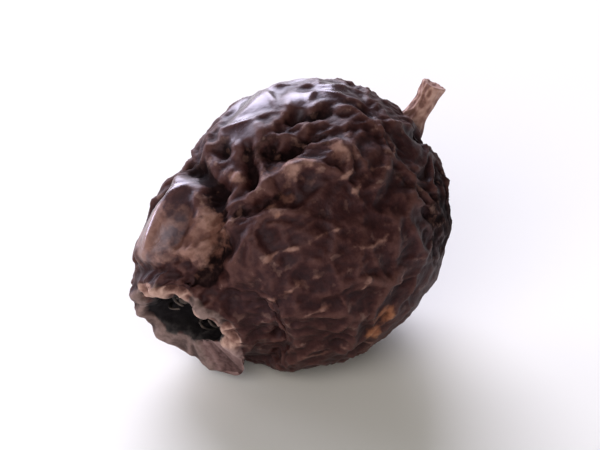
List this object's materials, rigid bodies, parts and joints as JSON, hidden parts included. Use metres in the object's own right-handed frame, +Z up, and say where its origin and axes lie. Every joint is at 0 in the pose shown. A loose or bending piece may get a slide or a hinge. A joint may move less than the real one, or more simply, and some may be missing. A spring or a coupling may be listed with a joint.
{
  "type": "dried hawthorn berry",
  "caption": "Shrivelled egg-shaped berry with a net of raised wrinkles, an open calyx crown at one end and a short stalk stub at the other.",
  "frame": {"origin": "middle of the small flat spot that the berry lies on", "axes": "+Z up from the surface it lies on, +X towards the stalk end along the berry's length, calyx crown towards -X"},
  "size_m": [0.0097, 0.0073, 0.0074],
  "materials": {
    "dried_skin": "wrinkled dried skin, dark red-brown, satin with glossier ridges"
  },
  "bodies": {
    "root": {"berry": "dried_skin"}
  },
  "joints": []
}
